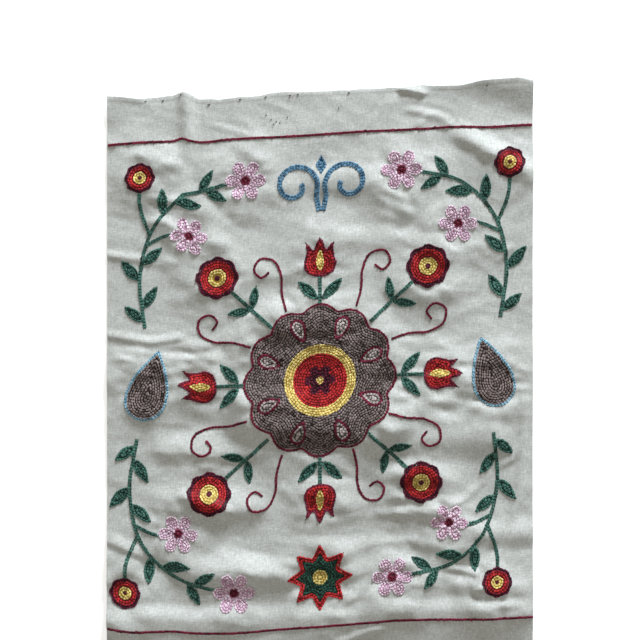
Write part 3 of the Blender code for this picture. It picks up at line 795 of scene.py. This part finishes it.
def star(points, outer, inner):
    angles = math.pi / 2 + np.arange(2 * points) * math.pi / points
    r = np.where(np.arange(2 * points) % 2 == 0, outer, inner)
    return np.stack([r * np.cos(angles), r * np.sin(angles)], axis=1)


def two_sided(length, half_width, bend=0.0):
    """An outline along +Y from a foot at the origin: half_width says how wide it is along its length."""
    t = (1 - np.cos(np.arange(SIDE_POINTS + 1) * math.pi / SIDE_POINTS)) / 2
    middle = bend * t**2
    w = half_width(t)
    right = np.stack([middle + w, length * t], axis=1)
    left = np.stack([middle - w, length * t], axis=1)
    return np.concatenate([right, left[-2:0:-1]])


def leaf(length, width):
    """Pointed at both ends, and widest a little before its middle."""
    return two_sided(length, lambda t: width / 2 * np.sin(math.pi * t**LEAF_SHIFT))


def drop(length, width):
    """Pointed at its foot, with a round head."""
    return two_sided(length, lambda t: width * ROUND_HEAD * t * np.sqrt(1 - t))


def almond(length, width, bend):
    """Round at its foot, with a tip that bends over."""
    return two_sided(length, lambda t: width * ROUND_HEAD * (1 - t) * np.sqrt(t), bend)


def smooth_route(points, spacing=ROUTE_SPACING):
    """Evenly spaced points on a smooth curve through the points."""
    points = np.array(points, float)
    steps = np.linalg.norm(np.diff(points, axis=0), axis=1)
    along = np.concatenate([[0], np.cumsum(steps)])
    at = np.linspace(0, along[-1], max(2, round(along[-1] / spacing) + 1))
    tangent = np.gradient(points, along, axis=0)
    i = np.clip(np.searchsorted(along, at, side="right") - 1, 0, len(steps) - 1)
    t = ((at - along[i]) / steps[i])[:, None]
    gap = steps[i][:, None]
    left = (1 + 2 * t) * points[i] + t * gap * tangent[i]
    right = (3 - 2 * t) * points[i + 1] + (t - 1) * gap * tangent[i + 1]
    return (1 - t) ** 2 * left + t**2 * right


def rows_beside(route, count, width=STEM_ROW):
    """So many rows side by side along a route."""
    _, left = sides(route)
    return [route + left * width * (k - (count - 1) / 2) for k in range(count)]


# Medallion
# The large scalloped flower in the middle, worked in marled grey-brown thread and outlined in claret. It
# has eight paler drops round a heart of yellow, red and maroon.

SCALLOPS = 12
SCALLOP_DEPTH = 0.09
DROPS = 8
DROP_SIZE = (22.0, 13.0)
DROP_FOOT = 32.0
HEART_RING, HEART, HEART_FLOWER, HEART_EYE = 29.0, 22.0, 13.0, 3.6
HEART_PETALS, HEART_PETAL_DEPTH = 6, 0.35

rim = central(lobed(MEDALLION, SCALLOPS, SCALLOP_DEPTH))
drop_outline = placed(drop(*DROP_SIZE), 0, DROP_FOOT)
drops = [central(drop_outline, 360 / DROPS * (k + 0.5)) for k in range(DROPS)]
heart_ring, heart, heart_eye = (central(disc(r)) for r in (HEART_RING, HEART, HEART_EYE))
heart_flower = central(lobed(HEART_FLOWER, HEART_PETALS, HEART_PETAL_DEPTH))
embroider("medallion_outlines", claret, [(rim,), *((d,) for d in drops)], rows=1, width=OUTLINE, seed=21)
embroider("medallion_field", grey_brown, [(rim, heart_ring, *drops)], skip=1, seed=22)
embroider("medallion_drops", pale_grey_brown, [(d,) for d in drops], skip=1, seed=23)
embroider("medallion_ring", yellow, [(heart_ring, heart), (heart_eye,)], seed=24)
embroider("medallion_heart", red, [(heart, heart_flower)], seed=25)
embroider("medallion_flower", maroon, [(heart_flower, heart_eye)], seed=26)


# Quarters of the field
# Each quarter has a round flower on a short stem from the medallion, two claret tendrils beside it, and a
# vine that sweeps round the corner with two pink blossoms and a small round flower.

ROSETTE_LOBES, ROSETTE_DEPTH = 8, 0.10
RED_PART, RING_PART, EYE_PART = 0.78, 0.42, 0.16
PETALS = 6
PETAL_WIDTH = 0.62
BLOSSOM_EYE = 0.25
VINE = ((144, 44), (149, 86), (139, 126), (114, 152), (80, 162))
VineLeaf = namedtuple("VineLeaf", "along side length")
VINE_LEAVES = (
    VineLeaf(0.03, -1, 23),
    VineLeaf(0.10, 1, 24),
    VineLeaf(0.25, -1, 25),
    VineLeaf(0.33, 1, 24),
    VineLeaf(0.62, -1, 24),
    VineLeaf(0.70, 1, 25),
    VineLeaf(0.85, -1, 22),
    VineLeaf(0.88, 1, 22),
)
LEAF_LEAN = 42.0
LEAF_WIDTH = 0.40
INNER_TWIG = 0.44
CORNER_TWIG = 0.50
TWIG_BOW = 4
STEM_ROWS = 2
SHORT_STEM = ((40, 44), (58, 60), (76, 76))
SHORT_LEAF = (22, 8)
SHORT_LEAF_FOOT = (57, 59)
SHORT_LEAF_TURNS = (8, -98)
TENDRIL = ((29, 57), (33, 72), (34, 87), (41, 99), (52, 100), (56, 91), (50, 85), (44, 89))


def petals(radius):
    """The petals of a blossom, each a drop with its foot under the centre."""
    outline = drop(radius, radius * PETAL_WIDTH)
    return [placed(outline, turn=360 / PETALS * (k + 0.5)) for k in range(PETALS)]


def round_parts(rounds, share):
    """Discs at the middles of round flowers, of a share of their size."""
    return in_each_quarter([placed(disc(row.radius * share), row.u, row.v) for row in rounds])


rims = [placed(lobed(row.radius, ROSETTE_LOBES, ROSETTE_DEPTH), row.u, row.v) for row in ROSETTES]
scalloped = in_each_quarter(rims)
reds, rings, eyes = (round_parts(ROSETTES, share) for share in (RED_PART, RING_PART, EYE_PART))
embroider("rosette_rims", maroon, [(edge,) for edge in scalloped], rows=2, seed=31)
embroider("rosette_discs", red, list(zip(reds, rings)), seed=32)
embroider("rosette_rings", yellow, list(zip(rings, eyes)), seed=33)
embroider("rosette_eyes", maroon, [(e,) for e in eyes], seed=38)

one_quarter = [placed(p, row.u, row.v) for row in BLOSSOMS for p in petals(row.radius)]
petal_outlines = in_each_quarter(one_quarter)
blossom_eyes = round_parts(BLOSSOMS, BLOSSOM_EYE)
embroider("blossom_petals", pink, [(p, *blossom_eyes) for p in petal_outlines], seed=34)
embroider("blossom_centres", claret, [(e,) for e in blossom_eyes], seed=35)

route = smooth_route(VINE)
way, _ = sides(route)
vine_leaves = [placed(leaf(*SHORT_LEAF), *SHORT_LEAF_FOOT, lean) for lean in SHORT_LEAF_TURNS]
for row in VINE_LEAVES:
    i = round(row.along * (len(route) - 1))
    lean = math.degrees(math.atan2(way[i, 1], way[i, 0])) - 90 + LEAF_LEAN * row.side
    vine_leaves.append(placed(leaf(row.length, row.length * LEAF_WIDTH), *route[i], lean))
inner, corner = (route[round(at * (len(route) - 1))] for at in (INNER_TWIG, CORNER_TWIG))
flower, bud = np.array(BLOSSOMS[0][:2]), np.array(ROSETTES[1][:2])
twigs = (
    SHORT_STEM,
    VINE,
    [inner, (inner + flower) / 2 + (0, TWIG_BOW), flower],
    [corner, (corner + bud) / 2 + (TWIG_BOW, 0), bud],
)
stems = [row for twig in twigs for row in rows_beside(smooth_route(twig), STEM_ROWS)]
tendrils = [smooth_route(TENDRIL), smooth_route(np.flip(TENDRIL, axis=1))]
embroider("vine_leaves", green, [(p, *scalloped) for p in in_each_quarter(vine_leaves)], seed=36)
worked_over = [*scalloped, *petal_outlines, *blossom_eyes, rim]
embroider("vine_stems", green, lines=in_each_quarter(stems), over=worked_over, seed=37)
embroider("tendrils", claret, lines=in_each_quarter(tendrils), over=[rim], width=OUTLINE, seed=39)


# Tulips
# Four tulips grow out of the medallion: red petals outlined in claret round a yellow flame, each on a short
# green stem between two leaves.

TULIP_LENGTH = 32.0
TULIP_SIDE = ((0.0, 0.0), (0.17, 0.015), (0.31, 0.08), (0.40, 0.20), (0.42, 0.36), (0.375, 0.52),
    (0.345, 0.68), (0.37, 0.84), (0.44, 1.0), (0.30, 0.87), (0.16, 0.70), (0.09, 0.88))
TULIP_TIP = (0.0, 1.06)
FLAME_SIZE = (20.0, 7.0)
TULIP_LEAF = (25.0, 9.0)
TULIP_LEAF_LEAN = 46.0
TULIP_LEAF_FOOT = 64
FLAME_FOOT = 4
TULIP_STEM = ((0, MEDALLION - 4), (0, TULIP_FOOT + 3))


def tulip(length):
    """A cup with three pointed petals, on its foot at the origin."""
    right = np.array(TULIP_SIDE)
    left = right[:0:-1] * (-1, 1)
    return np.concatenate([right, [TULIP_TIP], left]) * length


cups, flames, tulip_leaves, tulip_stems = [], [], [], []
for turn in TULIP_TURNS:
    cups.append(central(placed(tulip(TULIP_LENGTH), 0, TULIP_FOOT), turn))
    flames.append(central(placed(leaf(*FLAME_SIZE), 0, TULIP_FOOT + FLAME_FOOT), turn))
    for side in (-1, 1):
        one_leaf = placed(leaf(*TULIP_LEAF), side, TULIP_LEAF_FOOT, -TULIP_LEAF_LEAN * side)
        tulip_leaves.append(central(one_leaf, turn))
    tulip_stems += [central(row, turn) for row in rows_beside(smooth_route(TULIP_STEM), STEM_ROWS)]
embroider("tulip_outlines", claret, [(c,) for c in cups], rows=1, width=OUTLINE, seed=41)
embroider("tulip_petals", red, list(zip(cups, flames)), skip=1, seed=42)
embroider("tulip_flames", yellow, [(f,) for f in flames], seed=43)
embroider("tulip_leaves", green, [(p,) for p in tulip_leaves], seed=44)
embroider("tulip_stems", green, lines=tulip_stems, over=[*cups, rim], seed=45)


# Horn scroll
# A pair of blue horns over the far tulip, drawn with two rows side by side, with a lozenge between them.

SCROLL_PLACE = (1, 152)
LOZENGE_PLACE = (1, 168)
SCROLL_ROW = 2.7
SCROLL_ROWS, SCROLL_GAP = 2, 2.1
HORN_START, HORN_TURN = 205, 400
HORN_RADIUS, HORN_NARROWS = 19, 13.5
HORN_MIDDLE = 21
HORN_FOOT = (1.5, -21)
HORN_POINTS = 15
LOZENGE_SIZE = (9, 5)

coil = np.linspace(0, 1, HORN_POINTS)
angle, radius = np.radians(HORN_START - HORN_TURN * coil), HORN_RADIUS - HORN_NARROWS * coil
horn = np.stack([HORN_MIDDLE + radius * np.cos(angle), radius * np.sin(angle)], axis=1)
horn = smooth_route(np.concatenate([[HORN_FOOT], horn]))
arm = rows_beside(horn, SCROLL_ROWS, SCROLL_GAP)
scroll = [placed(row * (side, 1), *SCROLL_PLACE) for side in (-1, 1) for row in arm]
lozenge = placed(star(2, *LOZENGE_SIZE), *LOZENGE_PLACE)
embroider("horn_scroll", blue, [(lozenge,)], scroll, width=SCROLL_ROW, seed=51)


# Star
# An eight-pointed star under the near tulip, dark green inside a red outline, with a yellow middle.

STAR_POINTS = 8
STAR_SIZE = (28, 17)
STAR_EYE = 6.5
STAR_RIM_ROWS = 2

star_edge = placed(star(STAR_POINTS, *STAR_SIZE), *STAR_PLACE)
star_eye = placed(disc(STAR_EYE), *STAR_PLACE)
embroider("star_outline", red, [(star_edge,)], rows=STAR_RIM_ROWS, seed=52)
embroider("star_field", dark_green, [(star_edge, star_eye)], skip=STAR_RIM_ROWS, seed=53)
embroider("star_middle", yellow, [(star_eye,)], seed=54)


# Almonds
# An almond at each side, its tip bent over, worked in grey-brown inside a light blue outline.

ALMOND_SIZE = (58, 36, -12)

almonds = [placed(almond(*ALMOND_SIZE), *ALMOND_PLACE) * (side, 1) for side in (-1, 1)]
embroider("almond_outlines", light_blue, [(a,) for a in almonds], rows=1, width=WIDE_OUTLINE, seed=55)
embroider("almond_kernels", grey_brown, [(a,) for a in almonds], skip=1, seed=56)


# Border lines
# One thick row of claret chain stitch across the cloth inside each end.

BORDER_WIDTH = 2.9
BORDER_INSET = 0.6

line_end = HALF_WIDTH - BORDER_INSET
lines = [np.array([(-line_end, v), (line_end, v)]) for v in FLAT_LINES[1:3]]
embroider("border_lines", claret, lines=lines, width=BORDER_WIDTH, seed=61)


# Hem stitches
# Small dark stitches that hold the hem, with the few knots that show below it.

HEM_STITCHES = ((-139.5, 225.4), (-125.6, 224.6), (-111, 225.6), (-89, 223), (-64, 225.6), (-43.5, 225.4),
    (-24, 224.8), (-17.6, 225.6), (23, 225.5), (133, 223.4))
KNOTS = ((-43, 211), (-39, 207), (-35, 205), (-26, 208), (-37, 203), (-32, 204), (15, 213))
HEM_TACK, KNOT_TACK = (0.7, 0.2), (0.4, -0.3)
TACK_WIDTH = 0.8


def tacks(places, half, lean):
    """A short stitch at each place, with its far end a little higher or lower."""
    return [np.array([(u - half, v), (u + half, v + lean)]) for u, v in places]


marks = tacks(HEM_STITCHES, *HEM_TACK) + tacks(KNOTS, *KNOT_TACK)
embroider("hem_stitches", husk_brown, lines=marks, width=TACK_WIDTH, seed=62)


# Table, light and camera
# A pale table, faintly lit from within, under soft light that falls low across the cloth from beyond its
# far right corner, seen from straight above, as the photograph is taken.

VIEW_CENTRE = (0.0, 0.0452)
VIEW_WIDTH = 0.512
CAMERA_HEIGHT = 1.3
TABLE_HALF = 3
TABLE_COLOUR, TABLE_ROUGHNESS, TABLE_GLOW = (0.93, 0.93, 0.93, 1), 0.9, 0.42
ROOM_COLOUR, ROOM_STRENGTH = (1.0, 0.975, 0.90, 1), 0.38
Lamp = namedtuple("Lamp", "name place size colour power")
LAMPS = (
    Lamp("window", (0.95, 2.85, 0.95), 0.9, (0.875, 0.940, 1.0), 229),
    Lamp("room", (-0.6, -1.2, 2.4), 2.5, (1.0, 0.97, 0.92), 13.5),
)

bm = bmesh.new()
bmesh.ops.create_grid(bm, x_segments=1, y_segments=1, size=TABLE_HALF)
table_mesh = bpy.data.meshes.new("table_top")
bm.to_mesh(table_mesh)
bm.free()
table = bpy.data.objects.new("table_top", table_mesh)
bpy.context.scene.collection.objects.link(table)
pale = bpy.data.materials.new("pale_table")
pale.use_nodes = True
pale_shader = pale.node_tree.nodes["Principled BSDF"]
pale_shader.inputs["Base Color"].default_value = TABLE_COLOUR
pale_shader.inputs["Roughness"].default_value = TABLE_ROUGHNESS
pale_shader.inputs["Emission Color"].default_value = (1, 1, 1, 1)
pale_shader.inputs["Emission Strength"].default_value = TABLE_GLOW
table_mesh.materials.append(pale)


def soft_light(lamp):
    """A square area light that faces the cloth."""
    light = bpy.data.lights.new(lamp.name, "AREA")
    light.shape = "SQUARE"
    light.size = lamp.size
    light.energy = lamp.power
    light.color = lamp.colour
    made = bpy.data.objects.new(lamp.name, light)
    made.location = lamp.place
    towards = -made.location.normalized()
    made.rotation_euler = towards.to_track_quat("-Z", "Y").to_euler()
    bpy.context.scene.collection.objects.link(made)


for lamp in LAMPS:
    soft_light(lamp)
world = bpy.data.worlds.new("room")
world.use_nodes = True
world.node_tree.nodes["Background"].inputs["Color"].default_value = ROOM_COLOUR
world.node_tree.nodes["Background"].inputs["Strength"].default_value = ROOM_STRENGTH
bpy.context.scene.world = world
bpy.context.scene.view_settings.view_transform = "Standard"

camera = bpy.data.objects.new("camera", bpy.data.cameras.new("camera"))
camera.location = (*VIEW_CENTRE, CAMERA_HEIGHT)
camera.data.lens = camera.data.sensor_width * CAMERA_HEIGHT / VIEW_WIDTH
bpy.context.scene.collection.objects.link(camera)
bpy.context.scene.camera = camera
